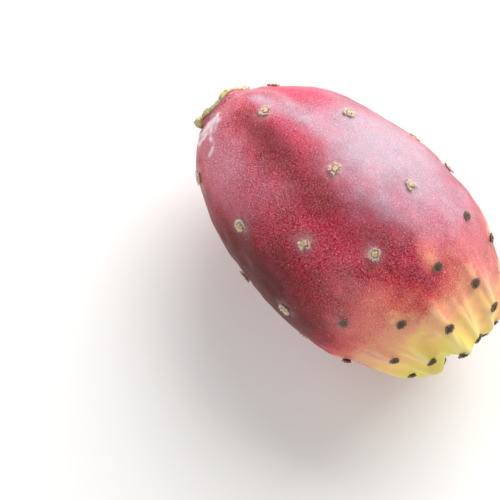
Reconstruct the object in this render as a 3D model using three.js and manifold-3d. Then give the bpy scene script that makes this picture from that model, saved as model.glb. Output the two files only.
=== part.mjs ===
import * as THREE from "three";
import { mergeVertices } from "three/addons/utils/BufferGeometryUtils.js";
import Module from "manifold-3d";

// A prickly pear fruit, lying on its side as picked. Millimetres, +Z up.
// Its long axis runs along X: the stem scar is at -X and the crown, with its sunken cup, at +X.
// The skin is one outline turned about that axis, bent a little at both ends, with a low hump
// under each areole. The areoles climb the fruit on one spiral, from the scar to the rim of the cup.

// ---- driving dimensions ----

// Outline of the skin as [place along the axis from mid-length, radius].
const OUTLINE = [
  [-40.6, 0], // middle of the stem scar
  [-40.9, 3.6],
  [-42.2, 5.8], // dried lip round the scar
  [-42.0, 7.3],
  [-41.0, 7.5], // the lip stands a little over the skin
  [-40.1, 9.2],
  [-37.9, 12.2], // shoulder
  [-33.4, 16.2],
  [-26.4, 20.7],
  [-16.8, 23.9],
  [-4.8, 26.1],
  [7.2, 26.4], // widest
  [19.2, 24.4],
  [28.4, 19.1],
  [33.6, 14.2],
  [36.2, 11.5],
  [37.4, 9.8], // rim of the cup
  [37.0, 8.0],
  [35.2, 6.2],
  [33.8, 3.6],
  [33.4, 0], // middle of the cup, where the flower stood
];

// The centre line bends near both ends: where the bend starts, how long it is, and the slope
// toward Y and Z that it ends with.
const CROWN_BEND = { start: 6, length: 33, y: -0.145, z: -0.16 };
const STEM_BEND = { start: -28, length: 14, y: 0.17, z: 0 };

// The spiral of the areoles. The first place is a distance along the skin from the scar's middle.
const FIRST_NODE = -23;
const LAST_NODE = 34;
const NODE_TURN = 106; // degrees round the axis from one areole to the next
const NODE_ZERO = { along: 67.2, round: -12 };
const CLIMB = { rise: 1.75, slowing: 0.022 }; // mm for each areole, less toward the crown
const BARE_NODES = [-17]; // places on the spiral where no areole grew
const STRAY = { along: 0.5, round: 2 }; // how far any areole wanders, mm and degrees
// Areoles that sit well off the even spiral: [mm toward the crown, degrees round].
const OFF_SPIRAL = {
  "-20": [0, -15],
  "-14": [1, 0],
  "-13": [-1, -6],
  "-6": [-3, 0],
  "-3": [1, 0],
  "-1": [0, 10],
  1: [-4.5, -17],
  4: [0, -7],
  6: [3.5, 0],
  11: [-2, -7],
  13: [1.5, 15],
  14: [-1.5, -6],
  17: [-1, 1],
  18: [-2.5, -5],
  20: [2.5, 6],
  21: [-0.5, -21],
  24: [1, -2],
  27: [-1, 15],
  30: [1.5, 9],
};

// The hump under an areole: low on the middle of the fruit and strong at the crown.
const HUMP = {
  start: 72, // mm along the skin, where the humps begin to grow
  end: 102,
  low: 0.2,
  gain: 2.0,
  power: 1.4,
  lead: 0.9, // its top lies this far before the areole
  drop: 1.9, // fall past its top
  run: [6, 9], // slope on the stem side, middle and crown
  width: [2.6, 3.1],
};

// An areole: a felt pad with a ring of stubby bristles.
const PAD = {
  points: 5,
  radius: 1.2,
  notch: 0.85, // radius between two stubs
  stub: [0.45, 0.9], // height of the stubs, middle and crown
  felt: 0.25, // height of the felt between them
  root: 0.8, // depth sunk in the skin
  long: [1, 1.2], // how much wider than long, middle and crown
};

const LIP_WAVE = 0.45; // unevenness of the dried lip
const KNOB = { along: 7.6, round: -80, radius: 1.3, out: 0.9 }; // dried knob on the lip
const GROUND = 200; // side of the block that cuts the flat spot it lies on
// Where the axis lies: the fruit's box stands centred over the origin, its flat spot on the ground.
const AXIS = { x: 0.93, y: 0.01, z: 26.1 };

// Mesh size: segments round, and rings as [distance along the skin, count up to there].
const SEGMENTS = 60;
const RING_STRETCHES = [
  [15, 13],
  [76, 17],
  [104, 20],
];
const CUP_RINGS = 5;

// ---- the skin ----

const outline = new THREE.SplineCurve(OUTLINE.map(([x, r]) => new THREE.Vector2(x, r)));
outline.arcLengthDivisions = 2000;
const skinLength = outline.getLength();
const degrees = Math.PI / 180;

function growth(along) {
  return THREE.MathUtils.smoothstep(along, HUMP.start, HUMP.end);
}

function between([middle, crown], share) {
  return THREE.MathUtils.lerp(middle, crown, share);
}

function areoleNodes() {
  const nodes = [];
  for (let n = FIRST_NODE; n <= LAST_NODE; n++) {
    if (BARE_NODES.includes(n)) continue;
    const [off, turned] = OFF_SPIRAL[n] ?? [0, 0];
    const climbed = CLIMB.rise * n - CLIMB.slowing * n * n;
    nodes.push({
      along: NODE_ZERO.along + climbed + off + STRAY.along * Math.sin(5 * n),
      round: (NODE_ZERO.round + NODE_TURN * n + turned + STRAY.round * Math.sin(7 * n)) * degrees,
    });
  }
  return nodes;
}

const nodes = areoleNodes();

function humps(along, radius, round) {
  let height = 0;
  for (const node of nodes) {
    const share = growth(node.along);
    const step = along - (node.along - HUMP.lead);
    const slope = step < 0 ? between(HUMP.run, share) : HUMP.drop;
    const turn = Math.atan2(Math.sin(round - node.round), Math.cos(round - node.round));
    const across = (Math.max(radius, 4) * turn) / between(HUMP.width, share);
    const top = HUMP.low + HUMP.gain * share ** HUMP.power;
    height += top * Math.exp(-((step / slope) ** 2) - across ** 2);
  }
  return height;
}

function lipWave(along, round) {
  const near = Math.exp(-(((along - 7) / 1.6) ** 2));
  return LIP_WAVE * near * (Math.sin(3 * round + 1) + 0.7 * Math.sin(5 * round));
}

// Moves a point of the straight fruit to its place on the bent one.
function bend({ x, y, z }) {
  const crown = Math.max(x - CROWN_BEND.start, 0) / CROWN_BEND.length;
  const stem = Math.max(STEM_BEND.start - x, 0) / STEM_BEND.length;
  const slopeY = CROWN_BEND.y * crown - STEM_BEND.y * stem;
  const slopeZ = CROWN_BEND.z * crown - STEM_BEND.z * stem;
  const halfCrown = (CROWN_BEND.length * crown ** 2) / 2;
  const halfStem = (STEM_BEND.length * stem ** 2) / 2;
  return new THREE.Vector3(
    x - slopeY * y - slopeZ * z,
    y + CROWN_BEND.y * halfCrown + STEM_BEND.y * halfStem,
    z + CROWN_BEND.z * halfCrown + STEM_BEND.z * halfStem,
  );
}

// The point of the skin at a distance along it and an angle round the axis (0 is the top).
function skinPoint(along, round) {
  const share = THREE.MathUtils.clamp(along / skinLength, 0, 1);
  const at = outline.getPointAt(share);
  const way = outline.getTangentAt(share);
  const height = humps(along, at.y, round) + lipWave(along, round);
  const radius = at.y + way.x * height;
  const straight = new THREE.Vector3(
    at.x - way.y * height,
    radius * Math.sin(round),
    radius * Math.cos(round),
  );
  return bend(straight);
}

function ringPlaces() {
  const places = [];
  let from = 0;
  for (const [to, count] of RING_STRETCHES) {
    for (let i = 1; i <= count; i++) places.push(from + ((to - from) * i) / count);
    from = to;
  }
  for (let i = 1; i < CUP_RINGS; i++) places.push(from + ((skinLength - from) * i) / CUP_RINGS);
  return places;
}

function skinGeometry() {
  const places = ringPlaces();
  const points = [skinPoint(0, 0)];
  for (const along of places) {
    for (let s = 0; s < SEGMENTS; s++) points.push(skinPoint(along, (2 * Math.PI * s) / SEGMENTS));
  }
  points.push(skinPoint(skinLength, 0));
  const last = points.length - 1;
  const corner = (ring, s) => 1 + ring * SEGMENTS + (s % SEGMENTS);
  const faces = [];
  for (let s = 0; s < SEGMENTS; s++) {
    faces.push(0, corner(0, s), corner(0, s + 1));
    faces.push(last, corner(places.length - 1, s + 1), corner(places.length - 1, s));
    for (let ring = 0; ring < places.length - 1; ring++) {
      const next = ring + 1;
      faces.push(corner(ring, s), corner(next, s), corner(next, s + 1));
      faces.push(corner(ring, s), corner(next, s + 1), corner(ring, s + 1));
    }
  }
  return indexed(points, faces);
}

// ---- what is fused to the skin ----

// Axes of a spot on the skin: its point, and a matrix whose X runs toward the crown and whose
// Z stands out of the skin.
function skinFrame(along, round) {
  const reach = 0.6;
  const origin = skinPoint(along, round);
  const toCrown = skinPoint(along + reach, round).sub(skinPoint(along - reach, round)).normalize();
  const turn = reach / Math.max(outline.getPointAt(along / skinLength).y, 1);
  const across = skinPoint(along, round + turn).sub(skinPoint(along, round - turn));
  const out = across.cross(toCrown).normalize();
  const side = out.clone().cross(toCrown);
  return new THREE.Matrix4().makeBasis(toCrown, side, out).setPosition(origin);
}

function padGeometry(node, index) {
  const share = growth(node.along);
  const count = 2 * PAD.points;
  const points = [new THREE.Vector3(0, 0, -PAD.root)];
  const round = (i, radius, height) => {
    const turn = (2 * Math.PI * i) / count;
    const wide = between(PAD.long, share);
    return new THREE.Vector3(radius * Math.cos(turn), wide * radius * Math.sin(turn), height);
  };
  for (let i = 0; i < count; i++) points.push(round(i, PAD.notch, -PAD.root));
  for (let i = 0; i < count; i++) {
    const uneven = 1 + 0.2 * Math.sin(3 * index + 5 * i);
    const stub = i % 2 === 0;
    const height = stub ? between(PAD.stub, share) * uneven : PAD.felt;
    points.push(round(i, stub ? PAD.radius : PAD.notch, height));
  }
  points.push(new THREE.Vector3(0, 0, PAD.felt));
  const last = points.length - 1;
  const faces = [];
  for (let i = 0; i < count; i++) {
    const low = 1 + i;
    const lowNext = 1 + ((i + 1) % count);
    faces.push(0, lowNext, low);
    faces.push(low, lowNext, lowNext + count);
    faces.push(low, lowNext + count, low + count);
    faces.push(last, low + count, lowNext + count);
  }
  return indexed(points, faces).applyMatrix4(skinFrame(node.along, node.round));
}

function knobGeometry() {
  const knob = new THREE.SphereGeometry(KNOB.radius, 8, 6);
  knob.scale(1, 0.85, 1.5);
  knob.translate(0, 0, KNOB.out);
  return knob.applyMatrix4(skinFrame(KNOB.along, KNOB.round * degrees));
}

// ---- joining ----

const wasm = await Module();
wasm.setup();

function indexed(points, faces) {
  const geometry = new THREE.BufferGeometry().setFromPoints(points);
  return geometry.setIndex(faces);
}

function solid(geometry) {
  const bare = geometry.clone();
  bare.deleteAttribute("normal");
  bare.deleteAttribute("uv");
  const merged = mergeVertices(bare, 1e-4);
  return new wasm.Manifold(
    new wasm.Mesh({
      numProp: 3,
      vertProperties: new Float32Array(merged.attributes.position.array),
      triVerts: new Uint32Array(merged.index.array),
    }),
  );
}

function geometryOf(manifold) {
  const mesh = manifold.getMesh();
  const geometry = new THREE.BufferGeometry();
  geometry.setAttribute("position", new THREE.BufferAttribute(mesh.vertProperties, 3));
  geometry.setIndex(new THREE.BufferAttribute(mesh.triVerts, 1));
  return geometry;
}

function fruitGeometry() {
  let fruit = solid(skinGeometry());
  for (const [index, node] of nodes.entries()) fruit = fruit.add(solid(padGeometry(node, index)));
  fruit = fruit.add(solid(knobGeometry()));
  const ground = new THREE.BoxGeometry(GROUND, GROUND, GROUND);
  ground.translate(0, 0, -AXIS.z - GROUND / 2);
  return geometryOf(fruit.subtract(solid(ground))).translate(AXIS.x, AXIS.y, AXIS.z);
}

const skinMaterial = new THREE.MeshStandardMaterial({
  color: 0xb04a5e,
  roughness: 0.45,
  metalness: 0,
});

const pricklyPear = new THREE.Group();
const fruit = new THREE.Mesh(fruitGeometry(), skinMaterial);
fruit.name = "fruit";
pricklyPear.add(fruit);

export default pricklyPear;
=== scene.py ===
"""A whole prickly pear fruit, lying on its side as picked, dressed round its solid.

The fine skin follows the solid's own rule: one outline turned about the long axis, bent a little
at both ends, with a hump under each areole of one climbing spiral. On it come the slow waves and
torn edges of real skin, the felt pads and bristles of the areoles, the dried scar at the stem end
and the corky scar in the cup, where the flower stood.
"""

import math

import bpy
import numpy as np
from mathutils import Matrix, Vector


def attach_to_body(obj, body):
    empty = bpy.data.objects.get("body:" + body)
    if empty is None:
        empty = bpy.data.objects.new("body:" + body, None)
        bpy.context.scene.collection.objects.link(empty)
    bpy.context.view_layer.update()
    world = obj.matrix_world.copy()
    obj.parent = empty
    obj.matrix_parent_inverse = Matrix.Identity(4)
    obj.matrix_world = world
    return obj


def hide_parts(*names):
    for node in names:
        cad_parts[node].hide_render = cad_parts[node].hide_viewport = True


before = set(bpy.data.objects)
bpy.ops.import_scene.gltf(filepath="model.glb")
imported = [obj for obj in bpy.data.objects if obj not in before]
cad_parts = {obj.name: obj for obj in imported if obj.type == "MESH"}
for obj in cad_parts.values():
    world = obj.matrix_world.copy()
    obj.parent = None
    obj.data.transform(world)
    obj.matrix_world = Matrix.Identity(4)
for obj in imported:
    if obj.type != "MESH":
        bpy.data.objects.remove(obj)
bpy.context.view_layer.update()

bl_info = {
    "name": "Prickly pear fruit",
    "version": (1, 0, 0),
    "blender": (4, 5, 0),
    "location": "3D Viewport > Sidebar > Prickly pear",
    "description": "Builds a whole prickly pear fruit: skin, areoles, bristles and scars",
    "category": "Object",
}

BODY = "root"
SOLID = "fruit"
MM = 0.001  # the form is worked out in millimetres

# ---- the form, in millimetres, as in the solid ----

# Outline of the skin as [place along the axis from mid-length, radius].
OUTLINE = np.array(
    [
        [-40.6, 0],  # middle of the stem scar
        [-40.9, 3.6],
        [-42.2, 5.8],  # dried lip round the scar
        [-42.0, 7.3],
        [-41.0, 7.5],
        [-40.1, 9.2],
        [-37.9, 12.2],  # shoulder
        [-33.4, 16.2],
        [-26.4, 20.7],
        [-16.8, 23.9],
        [-4.8, 26.1],
        [7.2, 26.4],  # widest
        [19.2, 24.4],
        [28.4, 19.1],
        [33.6, 14.2],
        [36.2, 11.5],
        [37.4, 9.8],  # rim of the cup
        [37.0, 8.0],
        [35.2, 6.2],
        [33.8, 3.6],
        [33.4, 0],  # middle of the cup
    ]
)
# How the ends bend: the place on the axis where a bend starts, and the slopes in y and z that it
# has reached after its length.
CROWN_BEND = {"start": 6, "length": 33, "y": -0.145, "z": -0.16}
STEM_BEND = {"start": -28, "length": 14, "y": 0.17, "z": 0}

# The spiral of the areoles: places along the skin from the scar's middle, and degrees round.
FIRST_NODE, LAST_NODE = -23, 34
NODE_TURN = 106  # degrees from one to the next
NODE_ZERO = {"along": 67.2, "round": -12}
CLIMB = {"rise": 1.75, "slowing": 0.022}  # mm from one to the next, and how it grows less
BARE_NODES = (-17,)  # places of the spiral that bear no areole
STRAY = {"along": 0.5, "round": 2}  # how far off each areole may be, in mm and in degrees
# The areoles that stand off the even spiral, by [mm along, degrees round].
OFF_SPIRAL = {
    -20: (0, -15), -14: (1, 0), -13: (-1, -6), -6: (-3, 0), -3: (1, 0), -1: (0, 10),
    1: (-4.5, -17), 4: (0, -7), 6: (3.5, 0), 11: (-2, -7), 13: (1.5, 15), 14: (-1.5, -6),
    17: (-1, 1), 18: (-2.5, -5), 20: (2.5, 6), 21: (-0.5, -21), 24: (1, -2), 27: (-1, 15),
    30: (1.5, 9),
}

# The humps under the areoles: mm along where they begin to grow and where they are full, how high
# they are, mm that their tops lie toward the stem, and how long and wide their slopes are.
HUMP = {
    "start": 72, "end": 102, "low": 0.2, "gain": 2.0, "power": 1.4, "lead": 0.9, "drop": 1.9,
    "run": (6, 9), "width": (2.6, 3.1),
}
# The narrow forked ridge on the stem side of a crown areole, finer than the solid's hump, which
# has the same kinds of sizes.
RIDGE = {
    "height": 0.8,
    "width": 0.95,
    "run": 8.0,
    "drop": 0.85,
    "lead": 1.5,
    "fork": 0.15,
    "uneven": 0.7,  # how much more or less one ridge forks than another
    "least": 0.05,  # growth under which an areole has no ridge
    "fade": (10, 6),  # mm from the middle of the cup, where the ridges end
}
# The yellowish skin on the stem side of a crown areole, and the growth from which it is full.
GLOW = {"lead": 2.2, "run": 4.4, "width": 3.6, "growth": 0.15}
REACH = 0.6  # mm to each side, over which a direction on the skin is taken
NARROWEST = {"form": 4, "colour": 3}  # mm, the least radius that counts near the poles
# Smooth random waves, for each use a list of [length, seed, strength]. The lengths are in mm, and
# for the knob in its own radii.
WAVES = {
    "slow": [(13, 11, 1.0), (5, 12, 0.5)],
    "spot edge": [(11, 21, 0.1), (3, 21, 0.04)],
    "ripening": [(16, 31, 2.2), (6, 32, 1.1)],
    "torn line": [(2.2, 14, 1.0)],
    "torn patch": [(1.6, 13, 0.16)],
    "patch edge": [(2.4, 15, 0.35)],
    "pleats": [(7, 33, 2.5)],
    "lip": [(3.6, 41, 0.2), (1.2, 42, 0.08)],
    "lip surface": [(0.9, 43, 0.1)],
    "knob": [(1.0, 51, 0.12)],
}
PAD_LIFT = 0.04  # mm that an areole's pad sits over the skin
# The waves of the dried lip: their height, the lip's place along the skin, and half its width.
LIP_WAVE, LIP_PLACE, LIP_REACH = 0.45, 7.0, 1.6
SPOT_SHARPNESS = 3.2  # the power by which a spot's strength falls off toward its edge
LINE_POINTS = 24  # points of a line drawn on the skin, for each of its stations
AXIS = np.array([0.93, 0.01, 26.1])  # where the axis lies over the ground
FLAT_SOFTNESS = 0.12  # how softly the skin meets the flat spot that it lies on


def spline(stations, steps):
    """Points of the even Catmull-Rom curve through the stations."""
    last = len(stations) - 1
    place = np.linspace(0, last, steps)
    at = np.minimum(place.astype(int), last)
    w = (place - at)[:, None]
    before, here = stations[np.maximum(at - 1, 0)], stations[at]
    after, beyond = stations[np.minimum(at + 1, last)], stations[np.minimum(at + 2, last)]
    leave, arrive = (after - before) / 2, (beyond - here) / 2
    cubic = (2 * here - 2 * after + leave + arrive) * w**3
    return cubic + (-3 * here + 3 * after - 2 * leave - arrive) * w**2 + leave * w + here


TRACE = spline(OUTLINE, 20001)
DISTANCE = np.concatenate([[0], np.cumsum(np.linalg.norm(np.diff(TRACE, axis=0), axis=1))])
SKIN_LENGTH = float(DISTANCE[-1])
HEADING = np.gradient(TRACE, axis=0)
HEADING /= np.linalg.norm(HEADING, axis=1, keepdims=True)


def smoothstep(low, high, value):
    t = np.clip((value - low) / (high - low), 0, 1)
    return t * t * (3 - 2 * t)


def between(pair, share):
    return pair[0] + (pair[1] - pair[0]) * share


def wrapped(angle):
    return (angle + np.pi) % (2 * np.pi) - np.pi


def growth(along):
    """0 on the middle of the fruit and 1 at the crown."""
    return smoothstep(HUMP["start"], HUMP["end"], along)


def bell(one, other=0):
    """1 where both are 0, fading past 1 on every side."""
    return np.exp(-(one**2) - other**2)


def areole_places():
    """Rows of [along, round in radians], one for each areole."""
    rows = []
    for n in range(FIRST_NODE, LAST_NODE + 1):
        if n in BARE_NODES:
            continue
        off, turned = OFF_SPIRAL.get(n, (0, 0))
        climbed = CLIMB["rise"] * n - CLIMB["slowing"] * n * n
        along = NODE_ZERO["along"] + climbed + off + STRAY["along"] * math.sin(5 * n)
        degrees = NODE_ZERO["round"] + NODE_TURN * n + turned + STRAY["round"] * math.sin(7 * n)
        rows.append((along, math.radians(degrees)))
    return np.array(rows)


AREOLES = areole_places()


def outline_at(along):
    """Axis place, radius and heading of the outline at distances along the skin."""
    columns = (TRACE[:, 0], TRACE[:, 1], HEADING[:, 0], HEADING[:, 1])
    return [np.interp(along, DISTANCE, column) for column in columns]


def from_areoles(along, turn, lead=0, narrowest=NARROWEST["form"]):
    """For each areole its growth, and how far points lie from it along and across, in mm."""
    radius = np.maximum(outline_at(along)[1], narrowest)
    for place, around in AREOLES:
        yield growth(place), along - (place - lead), radius * wrapped(turn - around)


def humps(along, turn):
    """How high the humps under the areoles stand, in mm."""
    height = np.zeros(np.broadcast(along, turn).shape)
    for share, step, across in from_areoles(along, turn, HUMP["lead"]):
        slope = np.where(step < 0, between(HUMP["run"], share), HUMP["drop"])
        top = HUMP["low"] + HUMP["gain"] * share ** HUMP["power"]
        height = height + top * bell(step / slope, across / between(HUMP["width"], share))
    return height


def ridges(along, turn):
    """The narrow ridges that run from the crown areoles toward the stem, 1 at their tops."""
    height = np.zeros(along.shape)
    for index, (share, step, across) in enumerate(from_areoles(along, turn, RIDGE["lead"])):
        if share < RIDGE["least"]:
            continue
        slope = np.where(step < 0, RIDGE["run"], RIDGE["drop"])
        spread = RIDGE["fork"] * (1 + RIDGE["uneven"] * math.sin(3 * index))
        beside = np.abs(across) - spread * np.maximum(-step, 0)
        height = np.maximum(height, share * bell(step / slope, beside / RIDGE["width"]))
    before, after = RIDGE["fade"]
    return height * smoothstep(SKIN_LENGTH - after, SKIN_LENGTH - before, along)


def glow(along, turn):
    """The yellowish skin on the stem side of the crown areoles, 1 at its middle."""
    strength = np.zeros(along.shape)
    for share, step, across in from_areoles(along, turn, GLOW["lead"]):
        patch = bell(step / GLOW["run"], across / GLOW["width"])
        strength = np.maximum(strength, smoothstep(0, GLOW["growth"], share) * patch)
    return strength


def lip_wave(along, turn):
    """How high the waves of the dried lip stand, in mm."""
    near = bell((along - LIP_PLACE) / LIP_REACH)
    return LIP_WAVE * near * (np.sin(3 * turn + 1) + 0.7 * np.sin(5 * turn))


def bend(x, y, z):
    """Moves points of the straight fruit to their place on the bent one, over the ground."""
    crown = np.maximum(x - CROWN_BEND["start"], 0) / CROWN_BEND["length"]
    stem = np.maximum(STEM_BEND["start"] - x, 0) / STEM_BEND["length"]
    slope_y = CROWN_BEND["y"] * crown - STEM_BEND["y"] * stem
    slope_z = CROWN_BEND["z"] * crown - STEM_BEND["z"] * stem
    half_crown = CROWN_BEND["length"] * crown**2 / 2
    half_stem = STEM_BEND["length"] * stem**2 / 2
    moved = np.stack(
        [
            x - slope_y * y - slope_z * z,
            y + CROWN_BEND["y"] * half_crown + STEM_BEND["y"] * half_stem,
            z + CROWN_BEND["z"] * half_crown + STEM_BEND["z"] * half_stem,
        ],
        -1,
    )
    return moved + AXIS


def skin_points(along, turn, lift=0):
    """Points of the skin, raised by lift, at distances along it and angles round (0 is the top)."""
    along = np.clip(along, 0, SKIN_LENGTH)
    x, radius, way_x, way_r = outline_at(along)
    height = humps(along, turn) + lip_wave(along, turn) + lift
    out = radius + way_x * height
    return bend(x - way_r * height, out * np.sin(turn), out * np.cos(turn))


def ridged_points(along, turn):
    """Points of the skin with the narrow ridges of the crown on it."""
    return skin_points(along, turn, RIDGE["height"] * ridges(along, turn))


def pressed(points):
    """Presses what lies under the ground softly up to it."""
    z = points[..., 2]
    flat = (z + np.sqrt(z * z + FLAT_SOFTNESS**2)) / 2
    near = z < 4 * FLAT_SOFTNESS
    points[..., 2] = np.where(near, flat, z)
    return points


def plain_points(along, turn):
    """Points of the skin without its humps."""
    x, radius, _, _ = outline_at(along)
    return bend(x, radius * np.sin(turn), radius * np.cos(turn))


def direction_out(points_at, along, turn):
    """The direction straight out of the skin that points_at gives."""
    step = REACH / np.maximum(outline_at(along)[1], 1)
    onward = points_at(along + REACH, turn) - points_at(along - REACH, turn)
    across = points_at(along, turn + step) - points_at(along, turn - step)
    return unit(np.cross(onward, across))


def areole_axes(along, turn):
    """Point, direction to the crown and direction out, between the hump's and the body's."""
    point = ridged_points(along, turn)
    out = direction_out(skin_points, along, turn) + direction_out(plain_points, along, turn)
    out = unit(out)
    onward = skin_points(along + REACH, turn) - skin_points(along - REACH, turn)
    onward -= out * np.sum(onward * out, axis=-1, keepdims=True)
    return point + PAD_LIFT * out, unit(onward), out


def unit(vectors):
    return vectors / np.linalg.norm(vectors, axis=-1, keepdims=True)


def waves(points, long, seed, count=24):
    """A smooth random value over space, about -1 to 1, with waves near that length."""
    draw = np.random.default_rng(seed)
    ways = unit(draw.normal(size=(count, 3)))
    pace = 2 * np.pi / (long * draw.uniform(0.7, 1.5, count))
    phase = draw.uniform(0, 2 * np.pi, count)
    total = np.zeros(points.shape[:-1])
    for way, speed, start in zip(ways, pace, phase):
        total += np.sin(points @ way * speed + start)
    return total / math.sqrt(count)


def waved(points, use):
    """The waves of one use, added up."""
    return sum(strength * waves(points, long, seed) for long, seed, strength in WAVES[use])


def spot(along, turn, place, ragged=0):
    """A soft-edged spot on the skin: [along, degrees, half length, half width, strength]."""
    middle, degrees, half_length, half_width, strength = place
    sideways = np.degrees(wrapped(turn - math.radians(degrees))) / half_width
    apart = np.sqrt(((along - middle) / half_length) ** 2 + sideways**2) + ragged
    return strength * np.exp(-(np.maximum(apart, 0) ** SPOT_SHARPNESS))


def spots(along, turn, places, ragged=0):
    """Several soft-edged spots together, from 0 to 1."""
    return np.clip(sum(spot(along, turn, place, ragged) for place in places), 0, 1)


def line_nearness(along, turn, stations, width):
    """1 on a line drawn on the skin through [along, degrees] stations, fading over width mm."""
    line = spline(np.array(stations, float), LINE_POINTS * len(stations))
    radius = np.maximum(outline_at(along)[1], NARROWEST["colour"])
    nearest = np.full(along.shape, np.inf)
    for middle, degrees in line:
        sideways = radius * wrapped(turn - math.radians(degrees))
        nearest = np.minimum(nearest, (along - middle) ** 2 + sideways**2)
    return np.exp(-nearest / width**2)


# ---- meshes ----


def mesh_object(name, points, faces, attributes=None, smooth=True):
    """A mesh object from points in mm, with values for its material or its tree on the points."""
    mesh = bpy.data.meshes.new(name)
    mesh.from_pydata((np.asarray(points) * MM).tolist(), [], faces)
    for key, values in (attributes or {}).items():
        values = np.asarray(values, np.float32)
        kind, part = ("FLOAT", "value") if values.ndim == 1 else ("FLOAT_VECTOR", "vector")
        mesh.attributes.new(key, kind, "POINT").data.foreach_set(part, values.ravel())
    mesh.polygons.foreach_set("use_smooth", [smooth] * len(mesh.polygons))
    mesh.validate()
    mesh.update()
    piece = bpy.data.objects.new(name, mesh)
    bpy.context.scene.collection.objects.link(piece)
    return piece


def band(low, high, sides):
    """Faces between two rings of points, given the first point of each."""
    here = np.arange(sides)
    following = (here + 1) % sides
    quads = np.stack([low + here, high + here, high + following, low + following], 1)
    return [tuple(quad) for quad in quads.tolist()]


def all_round(count):
    """Even angles round a circle."""
    return 2 * np.pi * np.arange(count) / count


def poled_rings(steps, segments, poles=(0, 0)):
    """Rings of points between two poles: the step and the angle of each point, and the faces."""
    rows, columns = np.meshgrid(steps, all_round(segments), indexing="ij")
    last = 1 + len(steps) * segments
    sides = [(s, (s + 1) % segments) for s in range(segments)]
    faces = [(0, 1 + a, 1 + b) for a, b in sides]
    for low in range(1, last - segments, segments):
        faces += band(low, low + segments, segments)
    faces += [(last, last - segments + b, last - segments + a) for a, b in sides]
    stepped = np.concatenate([poles[:1], rows.ravel(), poles[1:]])
    return stepped, np.concatenate([[0], columns.ravel(), [0]]), faces


def finish_piece(piece, material=None):
    """Gives a finished mesh its material and its body, and hides the solid."""
    if material is not None:
        piece.data.materials.clear()
        piece.data.materials.append(material)
    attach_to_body(piece, BODY)
    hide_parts(SOLID)
    return piece


def made_plain(piece, modifier):
    """Turns the result of a piece's Geometry Nodes into its own plain mesh."""
    graph = bpy.context.evaluated_depsgraph_get()
    graph.update()
    plain = bpy.data.meshes.new_from_object(piece.evaluated_get(graph))
    if len(plain.polygons) == 0:
        raise RuntimeError(f"{piece.name}: its Geometry Nodes made no faces")
    piece.modifiers.remove(modifier)
    old = piece.data
    piece.data = plain
    plain.name = piece.name
    bpy.data.meshes.remove(old)
    points = np.zeros(3 * len(plain.vertices), np.float32)
    plain.vertices.foreach_get("co", points)
    points = pressed(points.reshape(-1, 3) / MM) * MM
    plain.vertices.foreach_set("co", points.astype(np.float32).ravel())
    plain.update()
    return piece


# ---- shader nodes ----


def fill(made, inputs):
    """Sets a node's inputs; a value is a number, a colour or another node's socket."""
    for key, value in inputs.items():
        if isinstance(value, bpy.types.NodeSocket):
            made.id_data.links.new(value, made.inputs[key])
        else:
            made.inputs[key].default_value = value
    return made


def node(tree, kind, inputs=None, **settings):
    """A new node with its settings and inputs."""
    made = tree.nodes.new(kind)
    for key, value in settings.items():
        setattr(made, key, value)
    return fill(made, inputs or {})


def result(tree, kind, inputs=None, **settings):
    """The first output of a new node."""
    return node(tree, kind, inputs, **settings).outputs[0]


def blended(share, first, second):
    """The first colour, going over to the second as the share goes from 0 to 1."""
    inputs = {0: share, 6: first, 7: second}
    return node(share.id_data, "ShaderNodeMix", inputs, data_type="RGBA").outputs[2]


def layered(colour, layers):
    """Lays colours over one another, each layer a [share, colour]."""
    for share, over in layers:
        colour = blended(share, colour, over)
    return colour


def maths(operation, first, second=0.0):
    return result(first.id_data, "ShaderNodeMath", {0: first, 1: second}, operation=operation)


def times(first, *others):
    for other in others:
        first = maths("MULTIPLY", first, other)
    return first


def plus(first, *others):
    for other in others:
        first = maths("ADD", first, other)
    return first


def vector_maths(operation, first, second):
    inputs = {0: first, 1: second}
    return result(first.id_data, "ShaderNodeVectorMath", inputs, operation=operation)


def scaled(vector, share):
    inputs = {0: vector, "Scale": share}
    return result(vector.id_data, "ShaderNodeVectorMath", inputs, operation="SCALE")


def mapped(value, low, high, to_low=0.0, to_high=1.0):
    """Goes evenly from to_low to to_high as the value goes from low to high, and stays there."""
    inputs = {0: value, 1: low, 2: high, 3: to_low, 4: to_high}
    return result(value.id_data, "ShaderNodeMapRange", inputs)


def softly(value, low, high):
    """0 to 1 between two values, with soft ends."""
    inputs = {0: value, 1: low, 2: high}
    return result(value.id_data, "ShaderNodeMapRange", inputs, interpolation_type="SMOOTHSTEP")


def noise(place, scale, detail=2.0, roughness=0.5):
    inputs = {"Vector": place, "Scale": scale, "Detail": detail, "Roughness": roughness}
    return result(place.id_data, "ShaderNodeTexNoise", inputs)


def field(tree, name):
    """The value of a point attribute of the mesh."""
    return node(tree, "ShaderNodeAttribute", attribute_name=name).outputs["Fac"]


def ramp(value, stops):
    """A colour ramp of [place, colour] stops."""
    made = node(value.id_data, "ShaderNodeValToRGB", {0: value})
    elements = made.color_ramp.elements
    while len(elements) < len(stops):
        elements.new(0.5)
    for element, (place, colour) in zip(elements, stops):
        element.position = place
        element.color = colour
    return made.outputs[0]


def millimetres(tree):
    """Object coordinates in millimetres."""
    return scaled(node(tree, "ShaderNodeTexCoord").outputs["Object"], 1 / MM)


def bumped(layers):
    """A bump normal from [height, depth in mm] layers."""
    beneath = {}
    for height, depth in layers:
        inputs = {"Strength": 1.0, "Distance": depth * MM, "Height": height, **beneath}
        beneath = {"Normal": result(height.id_data, "ShaderNodeBump", inputs)}
    return beneath["Normal"]


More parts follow.
